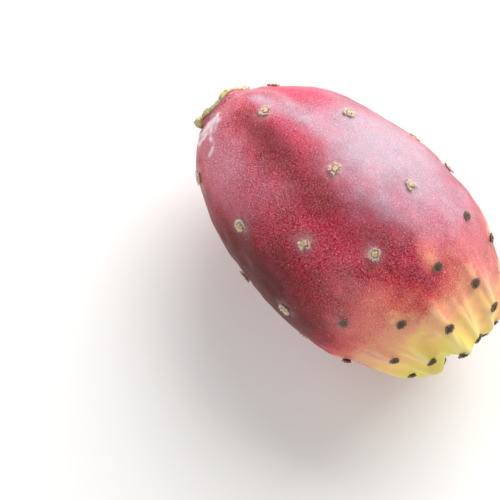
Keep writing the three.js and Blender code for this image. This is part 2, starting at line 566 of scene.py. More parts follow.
def new_material(name):
    """A material with a fresh Principled shader; returns the material, its tree and the shader."""
    material = bpy.data.materials.new(name)
    material.use_nodes = True
    tree = material.node_tree
    tree.nodes.clear()
    shader = node(tree, "ShaderNodeBsdfPrincipled")
    node(tree, "ShaderNodeOutputMaterial", {0: shader.outputs[0]})
    return material, tree, shader


# ---- sizes and colours that a user may change ----


def number(name, description, default, **limits):
    return bpy.props.FloatProperty(name=name, description=description, default=default, **limits)


def whole_number(name, description, default, **limits):
    return bpy.props.IntProperty(name=name, description=description, default=default, **limits)


def length(name, description, millimetre):
    return number(name, description, millimetre * MM, min=0, unit="LENGTH")


def share(name, description, default):
    return number(name, description, default, min=0, max=1, subtype="FACTOR")


def power(name, description, watts):
    return number(name, description, watts, min=0, unit="POWER")


def angle(name, description, degrees):
    return number(name, description, math.radians(degrees), subtype="ANGLE")


def colour(name, description, *screen):
    """A colour property from red, green and blue as 0 to 255 screen values."""
    linear = [((c / 255 + 0.055) / 1.055) ** 2.4 if c > 10 else c / 3294 for c in screen]
    return bpy.props.FloatVectorProperty(
        name=name,
        description=description,
        default=(*linear, 1.0),
        size=4,
        min=0,
        max=1,
        subtype="COLOR",
    )


class SkinSettings(bpy.types.PropertyGroup):
    """The fine skin and its colours."""

    wave: length("Wave", "Height of the slow unevenness of the skin", 0.14)
    moat: length("Moat", "Depth of the dent round an areole", 0.16)
    grain: length("Grain", "Width of the fine grains in the skin", 0.38)
    grain_depth: length("Grain depth", "How far the fine grains stand out", 0.035)
    # painted sheen: this share also sets how strongly the highlight of the large soft light is
    # painted
    bloom_and_sheen_share: share("Bloom", "How much wax covers the skin where it is thickest", 0.84)
    crimson: colour("Crimson", "Ripe skin on the middle of the fruit", 144, 8, 30)
    # painted shade: the darkest skin also stands in for the shade on the flank away from the light
    maroon_and_shade: colour("Maroon", "Darkest ripe skin", 78, 12, 12)
    # partly painted sheen: also stands in for the sheen of the light from the stem side
    rose: colour("Rose", "Skin round the stem end", 196, 84, 102)
    grain_pink: colour("Grain pink", "Pale grains in the ripe skin", 252, 158, 178)
    grain_pale: colour("Grain pale", "Grains in the skin round the stem end", 255, 206, 214)
    grain_peach: colour("Grain peach", "Grains where the skin turns", 252, 208, 156)
    magenta: colour("Magenta", "Brightest ripe skin", 200, 14, 66)
    brown: colour("Brown", "Dull patches of the ripe skin", 120, 48, 38)
    # partly painted sheen: also stands in for the sheen on the lower flank
    blush: colour("Blush", "Pale warm skin below the crown", 236, 142, 128)
    # painted sheen: the thick and thin waxy coat colours also paint the highlight of the large soft
    # light
    bloom: colour("Bloom", "Thick wax on the skin", 203, 197, 210)
    bloom_and_sheen_edge: colour("Bloom edge", "Thin wax on the skin", 214, 146, 174)
    scarlet: colour("Scarlet", "Ripe skin that starts to turn", 190, 36, 40)
    salmon: colour("Salmon", "Skin where red turns to yellow", 206, 86, 78)
    peach: colour("Peach", "Skin just before the yellow", 232, 162, 126)
    yellow: colour("Yellow", "Skin of the crown", 252, 208, 128)
    green: colour("Green", "Least ripe skin, at the rim of the cup", 236, 224, 104)
    # painted highlight: also the glints along the crests, besides the pale dots
    cream_and_highlight: colour("Cream", "Crests of the humps at the crown", 248, 224, 184)
    dry: colour("Dry", "Dried skin inside the lip", 150, 118, 84)
    halo: colour("Halo", "Skin close round an areole", 214, 190, 190)
    torn: colour("Torn", "Torn, waxy skin beside the scar", 236, 218, 224)


class AreoleSettings(bpy.types.PropertyGroup):
    """The felt pads and bristles of the areoles."""

    felt_radius: length("Felt radius", "Radius of an areole's felt pad", 0.8)
    felt_height: length("Felt height", "Height of the felt pad over the skin", 0.44)
    stub_count: whole_number("Stubs", "Blunt stubs in the ring of an areole", 104, min=0)
    stub_length: length("Stub length", "Length of a blunt stub", 0.56)
    stub_width: length("Stub width", "Thickness of a blunt stub", 0.28)
    bristle_count: whole_number("Bristles", "Fine bristles on an areole", 34, min=0)
    bristle_length: length("Bristle length", "Length of a fine bristle at the crown", 0.62)
    bristle_width: length("Bristle width", "Thickness of a fine bristle at its root", 0.16)
    seed: whole_number("Seed", "Seed of the random lean", 7)
    felt_tan: colour("Tan felt", "Felt on the middle of the fruit", 212, 172, 126)
    felt_rim: colour("Felt rim", "Rim of the felt on the middle of the fruit", 126, 90, 66)
    felt_dark: colour("Dark felt", "Felt at the crown", 80, 54, 40)
    stub_cream: colour("Cream stubs", "Palest stubs on the middle of the fruit", 246, 238, 226)
    stub_brown: colour("Brown stubs", "Darkest stubs on the middle of the fruit", 188, 156, 120)
    stub_dark: colour("Dark stubs", "Stubs at the crown", 98, 72, 56)
    bristle_tan: colour("Tan bristles", "Bristles on the middle of the fruit", 176, 126, 76)
    bristle_grey: colour("Grey bristles", "Bristles at the crown", 136, 106, 84)


class ScarSettings(bpy.types.PropertyGroup):
    """The dried scars at both ends."""

    lip_thickness: length("Lip thickness", "Thickness of the dried lip round the stem scar", 1.6)
    cork_height: length("Cork height", "Height of the cork over the skin", 0.3)
    olive: colour("Olive", "Dried green of the lip", 188, 174, 118)
    straw: colour("Straw", "Palest dried lip", 222, 214, 178)
    # painted shade: also darkens the underside of the lip and the knob
    bark_and_shade: colour("Bark", "Darkest dried lip", 74, 50, 34)
    cork: colour("Cork", "Cork of both scars", 176, 146, 104)
    crack: colour("Crack", "Cracks in the cork", 92, 66, 44)


class StageSettings(bpy.types.PropertyGroup):
    """The floor, the lights and the camera."""

    floor: colour("Floor", "The plain pale floor", 244, 243, 241)
    key_power: power("Key light", "Power of the large soft light", 60.0)
    fill_power: power("Fill light", "Power of the light from the stem side", 12.0)
    crown_power: power("Crown light", "Power of the light from the crown side", 12.0)
    sky: number("Sky", "Brightness of the plain surroundings", 0.34, min=0)
    lens: number("Lens", "Focal length in millimetres", 150.0, min=20)
    distance: number("Distance", "Camera to fruit", 0.5, min=0.1, unit="LENGTH")
    elevation: angle("Elevation", "How steeply the camera looks down", 78)
    azimuth: angle("Azimuth", "Turn of the camera round the fruit", 43.47)


# ---- the skin ----

SKIN_RINGS, SKIN_SEGMENTS = 248, 368
# Soft spots of the skin's colours: [along, degrees round, half length, half width, strength].
# Waxy coat and painted sheen: the first two spots paint the highlights of the key and fill lights.
BLOOM_AND_SHEEN_SPOTS = [
    [52, 38, 26, 35, 1.0], [25, -36, 17, 22, 0.34], [18, 19, 4, 7, 0.5], [25, 21, 10, 9, 0.42],
    [50, 134, 24, 34, 0.9], [64, -150, 18, 30, 0.7],
]
# Darker skin and painted shade, on the flank away from the light and down the middle band.
DARK_AND_SHADE_SPOTS = [
    [50, -78, 26, 32, 1.0], [48, -7, 33, 12, 0.48], [48, 176, 26, 26, 0.9], [60, 92, 16, 16, 0.7],
    [62, 6, 7, 7, 0.4], [27, -3, 8, 10, 0.35],
]
# Pink skin round the stem end; the first spot also paints the sheen of the light from the stem
# side.
ROSE_AND_SHEEN_SPOTS = [[23, -42, 15, 30, 1.0], [12, 100, 16, 90, 0.8]]
# Pale warm skin below the crown; the first spot also paints the sheen on the lower flank.
BLUSH_AND_SHEEN_SPOTS = [
    [78, -46, 11, 19, 0.85], [81, 42, 8, 28, 0.6], [74, 13, 5, 7, 0.4], [70, 120, 9, 24, 0.6],
    [72, -140, 9, 26, 0.7],
]
BRIGHT_SPOTS = [[24, 44, 12, 13, 1.0], [30, 8, 9, 8, 0.5], [58, -17, 9, 9, 0.6]]
# Each kind of spot, with how ragged its edges are.
SPOTS = {
    "bloom": (BLOOM_AND_SHEEN_SPOTS, 1),
    "dark": (DARK_AND_SHADE_SPOTS, 1),
    "rose": (ROSE_AND_SHEEN_SPOTS, 2),
    "blush": (BLUSH_AND_SHEEN_SPOTS, 2),
    "bright": (BRIGHT_SPOTS, 2),
}
CREASE = [(9.5, 20), (12.3, 31), (16.5, 32), (21, 32), (27, 27)]
CREASE_HEIGHT, CREASE_WIDTH = 0.28, 1.5
# Where the waves of the skin die out: mm from the middle of the stem scar and of the cup.
CALM = {"stem": 6, "cup": 8}
# The dent round an areole: mm from its middle, and half width.
MOAT = {"away": 1.9, "width": 0.8}
AREOLE_REACH = 2.2  # mm over which the skin is paler round an areole
# Where the skin has dried: mm past the line of the lip, and mm from the middle of the cup.
DRY_LIP, DRY_CUP = (0.3, -0.4), (9.0, 5.4)
GREEN_START = 89.5  # mm along, where the yellow starts on average
GREEN_SKEW = 5.5  # mm that it starts earlier on one side and later on the other
GREEN_SIDE = math.radians(-50)
# Where the skin ripens sooner (below 0) or later, laid out as the soft spots are.
TONGUES = [[79, -5, 6, 17, -0.14], [85, -38, 7, 17, 0.11], [75, 15, 5, 6, 0.08]]
RIPENING_SPAN = 34.0  # mm from the last pure crimson to the greenest skin
RIPENING_START = 0.55  # how ripe the skin is where the yellow starts, 0 crimson and 1 green
TORN_LINES = [
    [(12.0, -23), (14.2, -26), (15.6, -32), (15.8, -39)],
    [(16.8, -41), (18.8, -39), (20.2, -43), (20.6, -48)],
    [(9.4, -80), (11.2, -76), (14.6, -68)],
]
TORN_PATCH = [12.4, -44, 2.6, 19, 1.0]
TORN_HEIGHT, TORN_WIDTH = 0.26, 0.5
TORN_FAINTEST = 0.3  # how strong a torn line is where it has worn off
TORN_PATCH_PALENESS = 1.3  # the patch's paleness, against that of the lines
# The pleats in the wall of the cup: how many, their height, and the wall's place and half width.
PLEATS = {"count": 13, "height": 0.22, "in": 7.5, "width": 2.2}


def areole_distance(along, turn):
    """Distance in mm over the skin to the nearest areole."""
    steps = from_areoles(along, turn, narrowest=NARROWEST["colour"])
    return np.sqrt(np.min([step**2 + across**2 for _, step, across in steps], axis=0))


def ripening(along, turn, base):
    """0 on ripe crimson skin and 1 on the greenest, at the rim of the cup."""
    start = GREEN_START - GREEN_SKEW * np.cos(turn - GREEN_SIDE)
    tongues = sum(spot(along, turn, [*place, share]) for *place, share in TONGUES)
    gone = (along - start + waved(base, "ripening")) / RIPENING_SPAN
    return np.clip(RIPENING_START + gone + tongues, 0, 1)


def torn_nearness(along, turn, base):
    """1 on the torn lines beside the scar, fainter where they have worn off."""
    lines = [line_nearness(along, turn, line, TORN_WIDTH) for line in TORN_LINES]
    worn = between((TORN_FAINTEST, 1), smoothstep(-0.7, 0.4, waved(base, "torn line")))
    return np.max(lines, axis=0) * worn


def skin_lift(settings, along, turn, base, near):
    """How far the fine skin stands over the solid's form, in mm."""
    stem = smoothstep(0, CALM["stem"], along)
    cup = smoothstep(SKIN_LENGTH, SKIN_LENGTH - CALM["cup"], along)
    lift = settings.wave / MM * waved(base, "slow") * stem * cup
    moat = bell((near["areole"] - MOAT["away"]) / MOAT["width"])
    lift -= settings.moat / MM * moat * (1 - growth(along))
    lift += RIDGE["height"] * near["crest"]
    lift += CREASE_HEIGHT * near["crease"] + TORN_HEIGHT * near["torn"]
    lift += near["patch"] * waved(base, "torn patch")
    wall = bell((along - SKIN_LENGTH + PLEATS["in"]) / PLEATS["width"])
    return lift + PLEATS["height"] * wall * np.sin(PLEATS["count"] * turn + waved(base, "pleats"))


def skin_piece(settings):
    steps = SKIN_LENGTH * (np.arange(1, SKIN_RINGS + 1) / (SKIN_RINGS + 1))
    along, turn, faces = poled_rings(steps, SKIN_SEGMENTS, (0, SKIN_LENGTH))
    base = skin_points(along, turn)
    near = {
        "areole": areole_distance(along, turn),
        "crest": ridges(along, turn),
        "crease": line_nearness(along, turn, CREASE, CREASE_WIDTH),
        "torn": torn_nearness(along, turn, base),
        "patch": spot(along, turn, TORN_PATCH, waved(base, "patch edge")),
    }
    ragged = waved(base, "spot edge")
    attributes = {
        "along": along / SKIN_LENGTH,
        "ripening": ripening(along, turn, base),
        "crest": near["crest"],
        "areole": bell(near["areole"] / AREOLE_REACH),
        "glow": glow(along, turn),
        "crease": near["crease"],
        "torn": np.clip(near["torn"] + TORN_PATCH_PALENESS * near["patch"], 0, 1),
    }
    for name, (places, raggedness) in SPOTS.items():
        attributes[name] = spots(along, turn, places, raggedness * ragged)
    lift = skin_lift(settings, along, turn, base, near)
    points = pressed(skin_points(along, turn, lift))
    piece = mesh_object("fruit_skin", points, faces, attributes)
    return finish_piece(piece, skin_material(settings, attributes))


def ripe_colour(c, at, cloud, mottle):
    """The crimson of ripe skin, with its brighter, duller and darker parts.
    The darkest parts are partly painted shade.
    """
    layers = [
        (mapped(cloud, 0.5, 0.68, 0.0, 0.6), c.magenta),
        (mapped(cloud, 0.48, 0.3, 0.0, 0.75), c.brown),
        (mapped(mottle, 0.5, 0.34, 0.0, 0.45), c.scarlet),
        (mapped(mottle, 0.52, 0.72, 0.0, 0.3), c.rose),
        (times(at["bright"], 0.85), c.magenta),
        # painted shade: the dark spots also darken the flank away from the light and the middle
        # band
        (at["dark"], c.maroon_and_shade),
    ]
    return layered(c.crimson, layers)


def grain_layer(c, at, grains, stage, rosy_and_sheen):
    """The pale grains, fewer where the skin is dark or turned.
    Under the painted shade they are also dimmer and salmon.
    """
    # painted shade: the grains are dimmed and tinted salmon where the dark spots paint shade
    dark = times(at["dark"], mapped(stage, 0.5, 0.2))
    speckle = times(
        grains,
        mapped(stage, 0.8, 0.45, 0.1, 0.82),
        mapped(dark, 0, 1, 1.0, 0.3),
        mapped(rosy_and_sheen, 0, 1, 1.0, 1.35),
    )
    pale = blended(rosy_and_sheen, c.grain_pink, c.grain_pale)
    layers = [(mapped(stage, 0.2, 0.45), c.grain_peach), (times(dark, 0.85), c.salmon)]
    return speckle, layered(pale, layers)


def wax_and_sheen_layer(c, at, grains, flecks):
    """The lilac waxy coat with a painted sheen, thinner on the brightest skin."""
    # painted sheen: the waxy coat's strength also paints the highlight of the large soft light
    wax_and_sheen = times(
        at["bloom"],
        mapped(flecks, 0.25, 0.7, 0.9, 1.0),
        mapped(grains, 0, 1, 0.77, 1.14),
        mapped(at["bright"], 0, 1, 1.0, 0.35),
        c.bloom_and_sheen_share,
    )
    return wax_and_sheen, blended(mapped(wax_and_sheen, 0.15, 0.72), c.bloom_and_sheen_edge, c.bloom)


def dry_layers(c, at, flecks):
    """The dried skin inside the lip and inside the cup."""
    lip = [(LIP_ALONG + reach) / SKIN_LENGTH for reach in DRY_LIP]
    cup = [1 - reach / SKIN_LENGTH for reach in DRY_CUP]
    dried = times(mapped(at["along"], *cup), 0.85, mapped(flecks, 0.3, 0.6, 0.6, 1.0))
    return [(mapped(at["along"], *lip), c.dry), (dried, c.dry)]


def dot_layer(c, place):
    """Small pale dots, in some of the cells of a loose pattern."""
    cells = node(place.id_data, "ShaderNodeTexVoronoi", {"Vector": place, "Scale": 0.42}).outputs
    dots = times(mapped(cells["Distance"], 0.085, 0.04), mapped(cells["Color"], 0.55, 0.6), 0.45)
    return dots, c.cream_and_highlight


def skin_material(c, names):
    """Ripe skin: crimson with pale grains and a waxy coat; salmon, yellow and green at the crown.
    Its layers also paint sheen, shade and highlights on the crests.
    """
    material, tree, shader = new_material("ripe_skin")
    at = {name: field(tree, name) for name in names}
    place = millimetres(tree)
    fine = noise(place, 1.0 / (c.grain / MM), 1.0)
    curls = times(softly(maths("ABSOLUTE", plus(fine, -0.5)), 0.05, 0.0), 0.75)
    grains = maths("MAXIMUM", curls, times(softly(fine, 0.6, 0.74), 0.9))
    mottle = noise(place, 0.11, 3.0, 0.55)
    flecks = noise(place, 0.55, 3.0, 0.6)
    cloud = noise(place, 0.24, 2.0, 0.55)
    stage = plus(
        at["ripening"],
        mapped(flecks, 0.3, 0.7, -0.04, 0.04),
        mapped(cloud, 0.3, 0.7, 0.04, -0.04),
        mapped(at["crest"], 0, 1, -0.03, 0.12),
    )
    stage = maths("MAXIMUM", stage, times(at["glow"], mapped(flecks, 0.3, 0.65, 0.46, 0.66)))
    stops = [(0.2, c.scarlet), (0.4, c.salmon), (0.56, c.peach), (0.72, c.yellow), (0.93, c.green)]
    # partly painted sheen: the stem-side light's sheen is painted with the pink skin
    rosy_and_sheen = times(
        maths("MAXIMUM", at["rose"], mapped(at["along"], 0.2, 0.08)),
        mapped(mottle, 0.35, 0.6, 0.5, 0.9),
        mapped(at["bright"], 0, 1, 1.0, 0.1),
    )
    # painted highlight: pale glints along the crests of the crown ridges
    crest = times(at["crest"], mapped(stage, 0.25, 0.5))
    below_crown = mapped(at["along"], 0.68, 0.6)
    layers = [
        (mapped(stage, 0.1, 0.32), ramp(stage, stops)),
        # partly painted sheen: the pale warm spots paint the sheen on the lower flank
        (times(at["blush"], mapped(cloud, 0.3, 0.6, 0.6, 1.0), 0.72), c.blush),
        (rosy_and_sheen, c.rose),
        grain_layer(c, at, grains, stage, rosy_and_sheen),
        # painted highlight on the crests
        (mapped(crest, 0.3, 0.95, 0.0, 0.5), c.cream_and_highlight),
        (times(at["areole"], mapped(flecks, 0.35, 0.65, 0.15, 0.65), below_crown), c.halo),
        # painted sheen of the large soft light, together with the waxy coat
        wax_and_sheen_layer(c, at, grains, flecks),
        (times(at["crease"], 0.15), c.torn),
        (times(at["torn"], 0.9), c.torn),
        *dry_layers(c, at, flecks),
        dot_layer(c, place),
    ]
    inputs = {
        "Base Color": layered(ripe_colour(c, at, cloud, mottle), layers),
        "Roughness": plus(mapped(stage, 0.3, 0.7, 0.38, 0.34), mapped(fine, 0.3, 0.7, -0.05, 0.07)),
        "IOR": 1.33,
        "Specular IOR Level": 0.32,
        "Subsurface Weight": 0.12,
        "Subsurface Radius": (1.0, 0.35, 0.25),
        "Subsurface Scale": 1.5 * MM,
        "Normal": bumped([(flecks, 0.12), (grains, c.grain_depth / MM)]),
    }
    fill(shader, inputs)
    return material


# ---- the areoles ----

DARK_FELT = (64, 75)  # mm along, where the pads turn from ringed and tan to full and dark
HORN_DARK, HORN_LIGHT = (0.05, 0.03, 0.02, 1), (0.85, 0.76, 0.62, 1)
# A pad's size in felt radii and felt heights, on the middle of the fruit and at the crown.
PAD_SIZE = {"deep": (1.0, 1.12), "wide": (1.05, 1.3), "tall": (1.1, 1.3)}
TUFTS = {"Scale": 2600.0, "Detail": 3.0, "Roughness": 0.65}
TUFT_LIFT = (-0.16, 0.2)  # mm that the tufts stand in and out
# How the stubs and the bristles stand: their ring in felt radii, how much they lean out and cross,
# their tip's radius as a share of their thickness, and how wide the ring is, how long they are
# and how many are kept on the middle of the fruit.
STUBS = {
    "Sides": 5, "Inner": 0.6, "Outer": 1.1, "Lean": 0.9, "Tangle": 1.4, "Tip": 0.26,
    "Middle radius": 1.42, "Middle length": 1.0, "Middle share": 1.0,
}
BRISTLES = {
    "Sides": 5, "Inner": 0.0, "Outer": 0.95, "Lean": 0.7, "Tangle": 0.5, "Tip": 0.08,
    "Middle radius": 1.2, "Middle length": 0.4, "Middle share": 0.2,
}
GOLDEN_ANGLE = 2.39996  # radians from one bristle of an areole to the next
# What differs from one bristle to the next, as the least and the most.
DRAWN = {
    "bearing": (-0.35, 0.35), "place": (-0.4, 0.4), "lean": (-0.25, 0.25), "sway": (-1.0, 1.0),
    "length": (0.5, 1.3), "thickness": (0.6, 1.4), "shade": (0.0, 1.0), "missing": (0.0, 0.99),
}


def areole_object(name):
    """A mesh of one point at each areole, with the axes that its pads and bristles follow."""
    points, to_crown, out = areole_axes(AREOLES[:, 0], AREOLES[:, 1])
    crown = smoothstep(*DARK_FELT, AREOLES[:, 0])
    attributes = {"out": out, "to_crown": to_crown, "crown_share": crown}
    return mesh_object(name, pressed(points), [], attributes)


def new_geometry_tree(name, sockets):
    """A Geometry Nodes tree with named inputs, each given its kind; returns it and its inputs."""
    tree = bpy.data.node_groups.new(name, "GeometryNodeTree")
    for label, kind in {"Geometry": "Geometry", **sockets}.items():
        tree.interface.new_socket(label, in_out="INPUT", socket_type="NodeSocket" + kind)
    tree.interface.new_socket("Geometry", in_out="OUTPUT", socket_type="NodeSocketGeometry")
    return tree, node(tree, "NodeGroupInput").outputs


def areole_fields(tree):
    """The direction out, the direction to the crown and the crown's share of each areole."""
    kinds = {"out": "FLOAT_VECTOR", "to_crown": "FLOAT_VECTOR", "crown_share": "FLOAT"}
    return [
        result(tree, "GeometryNodeInputNamedAttribute", {"Name": name}, data_type=kind)
        for name, kind in kinds.items()
    ]


def with_field(geometry, name, value):
    """The geometry with a named value on each of its points."""
    inputs = {"Geometry": geometry, "Name": name, "Value": value}
    return result(geometry.id_data, "GeometryNodeStoreNamedAttribute", inputs, data_type="FLOAT")


def attach(piece, tree, values):
    """Puts a tree on a piece and sets its inputs by identifier."""
    modifier = piece.modifiers.new(tree.name, "NODES")
    modifier.node_group = tree
    for item in tree.interface.items_tree:
        if item.in_out == "INPUT" and item.name in values:
            modifier[item.identifier] = values[item.name]
    return modifier


def random_number(tree, low, high, seed):
    """A float between two limits, drawn for each element."""
    inputs = {2: low, 3: high, 8: seed}
    return node(tree, "FunctionNodeRandomValue", inputs, data_type="FLOAT").outputs[1]


def axis_height(tree):
    """The height of each point of an upright shape."""
    place = result(tree, "GeometryNodeInputPosition")
    return node(tree, "ShaderNodeSeparateXYZ", {0: place}).outputs[2]


def aligned(axis, way, **first):
    """The turn that points an axis along a direction, after the first Rotation, if any."""
    inputs = {"Vector": way, **first}
    pivot = "Z" if first else "AUTO"
    return result(
        way.id_data, "FunctionNodeAlignRotationToVector", inputs, axis=axis, pivot_axis=pivot
    )


def copied(tree, **inputs):
    """Copies of a shape at points, as plain mesh."""
    copies = result(tree, "GeometryNodeInstanceOnPoints", inputs)
    return result(tree, "GeometryNodeRealizeInstances", {0: copies})


def finish_tree(geometry, material):
    """Ends a tree with smooth faces and their material."""
    tree = geometry.id_data
    smooth = result(tree, "GeometryNodeSetShadeSmooth", {"Geometry": geometry})
    painted = {"Geometry": smooth, "Material": material}
    node(tree, "NodeGroupOutput", {0: result(tree, "GeometryNodeSetMaterial", painted)})
    return tree


def felt_tree():
    """A low cushion at each point, wider at the crown, roughened by noise."""
    sockets = {"Radius": "Float", "Height": "Float", "Material": "Material"}
    tree, given = new_geometry_tree("areole felt", sockets)
    ball = result(tree, "GeometryNodeMeshIcoSphere", {"Radius": 1.0, "Subdivisions": 4})
    ball = with_field(ball, "heart", axis_height(tree))
    out, to_crown, crown = areole_fields(tree)
    deep = times(given["Radius"], mapped(crown, 0, 1, *PAD_SIZE["deep"]))
    wide = times(given["Radius"], mapped(crown, 0, 1, *PAD_SIZE["wide"]))
    tall = times(given["Height"], mapped(crown, 0, 1, *PAD_SIZE["tall"]))
    pads = copied(
        tree,
        Points=given["Geometry"],
        Instance=ball,
        Rotation=aligned("X", to_crown, Rotation=aligned("Z", out)),
        Scale=result(tree, "ShaderNodeCombineXYZ", {0: deep, 1: wide, 2: tall}),
    )
    tufts = result(tree, "ShaderNodeTexNoise", TUFTS)
    lift = mapped(tufts, 0.3, 0.7, *[height * MM for height in TUFT_LIFT])
    shift = scaled(result(tree, "GeometryNodeInputNormal"), lift)
    pads = result(tree, "GeometryNodeSetPosition", {"Geometry": pads, "Offset": shift})
    return finish_tree(pads, given["Material"])


def bristle_tree():
    """Short tapered bristles over a ring or a disc at each point, leaning outwards."""
    floats = ["Inner", "Outer", "Length", "Thickness", "Lean", "Tangle", "Tip"]
    floats += ["Middle radius", "Middle length", "Middle share"]
    sockets = {"Count": "Int", "Sides": "Int", **dict.fromkeys(floats, "Float")}
    sockets |= {"Seed": "Int", "Material": "Material"}
    tree, given = new_geometry_tree("areole bristles", sockets)

    def drawn(what):
        return random_number(tree, *DRAWN[what], given["Seed"])

    out, to_crown, crown = areole_fields(tree)
    inputs = {"Geometry": given["Geometry"], "Amount": given["Count"]}
    copies = node(tree, "GeometryNodeDuplicateElements", inputs, domain="POINT").outputs
    filled = maths("SQRT", maths("DIVIDE", plus(copies[1], 0.5), given["Count"]))
    bearing = plus(times(copies[1], GOLDEN_ANGLE), drawn("bearing"))
    breadth = maths("SUBTRACT", given["Outer"], given["Inner"])
    radius = plus(given["Inner"], times(breadth, plus(filled, drawn("place"))))
    across = vector_maths("CROSS_PRODUCT", out, to_crown)
    wide = times(maths("SINE", bearing), mapped(crown, 0, 1, 1.0, 1.3))
    way = vector_maths("ADD", scaled(to_crown, maths("COSINE", bearing)), scaled(across, wide))
    offset = scaled(way, times(radius, mapped(crown, 0, 1, given["Middle radius"], 0.8)))
    lean = times(maths("DIVIDE", radius, given["Outer"]), given["Lean"])
    axis = vector_maths("ADD", out, scaled(way, plus(lean, drawn("lean"))))
    sideways = vector_maths("CROSS_PRODUCT", out, way)
    sway = times(drawn("sway"), given["Tangle"])
    axis = vector_maths("ADD", axis, scaled(sideways, sway))
    long = times(given["Length"], drawn("length"), mapped(crown, 0, 1, given["Middle length"], 1.0))
    thick = times(given["Thickness"], drawn("thickness"))
    ends = {"Radius Top": given["Tip"], "Radius Bottom": 0.5, "Depth": 1.0}
    inputs = {"Vertices": given["Sides"], "Side Segments": 2, **ends}
    cone = result(tree, "GeometryNodeMeshCone", inputs)
    inputs = {"Geometry": copies[0], "Offset": offset}
    placed = result(tree, "GeometryNodeSetPosition", inputs)
    patches = result(tree, "ShaderNodeTexNoise", {"Scale": 700.0, "Detail": 1.0})
    missing = times(mapped(patches, 0.4, 0.5, 1.0, 0.0), mapped(crown, 0, 1, 0.9, 0.0))
    kept = maths("SUBTRACT", plus(crown, given["Middle share"]), missing)
    bristles = copied(
        tree,
        Points=with_field(placed, "shade", drawn("shade")),
        Selection=maths("GREATER_THAN", kept, drawn("missing")),
        Instance=with_field(cone, "tip", axis_height(tree)),
        Rotation=aligned("Z", axis),
        Scale=result(tree, "ShaderNodeCombineXYZ", {0: thick, 1: thick, 2: long}),
    )
    return finish_tree(bristles, given["Material"])


def felt_material(c):
    """Matted wool: tan on the middle of the fruit, nearly black at the crown."""
    material, tree, shader = new_material("areole_felt")
    place = millimetres(tree)
    crown = field(tree, "crown_share")
    tufts = noise(place, 2.4, 4.0, 0.7)
    clumps = noise(place, 1.2)
    middle = blended(mapped(field(tree, "heart"), 0.35, 0.75), c.felt_rim, c.felt_tan)
    gaps = times(mapped(clumps, 0.5, 0.3), mapped(crown, 0, 1, 0.5, 0.6))
    pale = blended(crown, c.stub_cream, c.bristle_grey)
    tufted = mapped(tufts, 0.48, 0.66, 0.0, 0.55)
    layers = [(crown, c.felt_dark), (tufted, pale), (gaps, c.felt_dark)]
    inputs = {
        "Base Color": layered(middle, layers),
        "Roughness": mapped(tufts, 0.3, 0.7, 0.98, 0.82),
        "Sheen Weight": 0.12,
        "Normal": bumped([(tufts, 0.12)]),
    }
    fill(shader, inputs)
    return material


def bristle_material(name, middle, crown, streak, tip_light):
    """Horny bristles, paler toward the tip; middle is the [palest, darkest] colour."""
    material, tree, shader = new_material(name)
    streaks = noise(millimetres(tree), 3.0)
    layers = [
        (field(tree, "crown_share"), crown),
        (mapped(streaks, 0.35, 0.7, 0.0, streak), HORN_DARK),
        (mapped(field(tree, "tip"), 0.3, 1.0, 0.0, tip_light), HORN_LIGHT),
    ]
    inputs = {
        "Base Color": layered(blended(mapped(field(tree, "shade"), 0.35, 1.0), *middle), layers),
        "Roughness": mapped(streaks, 0.3, 0.7, 0.45, 0.65),
        "Normal": bumped([(streaks, 0.03)]),
    }
    fill(shader, inputs)
    return material


def areole_piece(name, tree, values):
    """A piece that a tree makes at the areoles."""
    piece = areole_object(name)
    made_plain(piece, attach(piece, tree, values))
    return finish_piece(piece)


def felt_piece(settings):
    values = {
        "Radius": settings.felt_radius,
        "Height": settings.felt_height,
        "Material": felt_material(settings),
    }
    return areole_piece("areole_felt", felt_tree(), values)


def bristle_pieces(settings):
    tree = bristle_tree()
    stub_shades = settings.stub_cream, settings.stub_brown
    fine_shades = settings.stub_cream, settings.bristle_tan
    stubs = {
        "Count": settings.stub_count,
        "Length": settings.stub_length,
        "Thickness": settings.stub_width,
        "Seed": settings.seed,
        "Material": bristle_material("stub_horn", stub_shades, settings.stub_dark, 0.12, 0.15),
    }
    fine = {
        "Count": settings.bristle_count,
        "Length": settings.bristle_length,
        "Thickness": settings.bristle_width,
        "Seed": settings.seed + 1,
        "Material": bristle_material("bristle_horn", fine_shades, settings.bristle_grey, 0.3, 0.55),
    }
    for name, kind, values in (("areole_stubs", STUBS, stubs), ("areole_bristles", BRISTLES, fine)):
        ring = {edge: settings.felt_radius * kind[edge] for edge in ("Inner", "Outer")}
        areole_piece(name, tree, {**kind, **ring, **values})


# ---- the scars ----

LIP_SEGMENTS, LIP_SIDES = 220, 18
LIP_ALONG = 6.7  # mm from the scar's middle to the lip's own line
LIP_WIDTH, LIP_LIFT = 1.15, 0.45  # of the lip's own radius: half its width, and how far it is up
# The knob on the lip: its place, half sizes, lift, and the half height that its shade goes by.
KNOB = {"along": 7.6, "round": -80, "size": (1.35, 1.15, 1.5), "lift": 0.15, "shade": 1.45}
# The cork discs: whether at the crown, reach in mm, and seed of the wrinkles.
CORKS = {"stem_cork": (False, 6.2, 61), "cup_cork": (True, 5.6, 71)}
# How a cork disc is made: mm under and over the skin, its number of radial cracks, and how much
# of its height is even, waved and cracked.
CORK = {"depth": 0.5, "edge": 0.04, "cracks": 17, "even": 0.5, "waved": 0.22, "cracked": 0.18}
# How thick the dried lip is round the scar, as [degrees, share].
LIP_SHARES = [
    (-180, 0.5), (-130, 0.35), (-98, 0.5), (-80, 1.25), (-70, 0.9), (-40, 1.0), (-15, 0.75),
    (0, 0.95), (20, 0.85), (45, 0.9), (80, 1.0), (110, 0.9), (140, 0.7), (180, 0.5),
]


def lip_thickness(turn):
    """The lip's thickness at angles round the scar, as a share of its setting."""
    degrees, shares = zip(*LIP_SHARES)
    return np.interp(np.degrees(wrapped(turn)), degrees, shares)


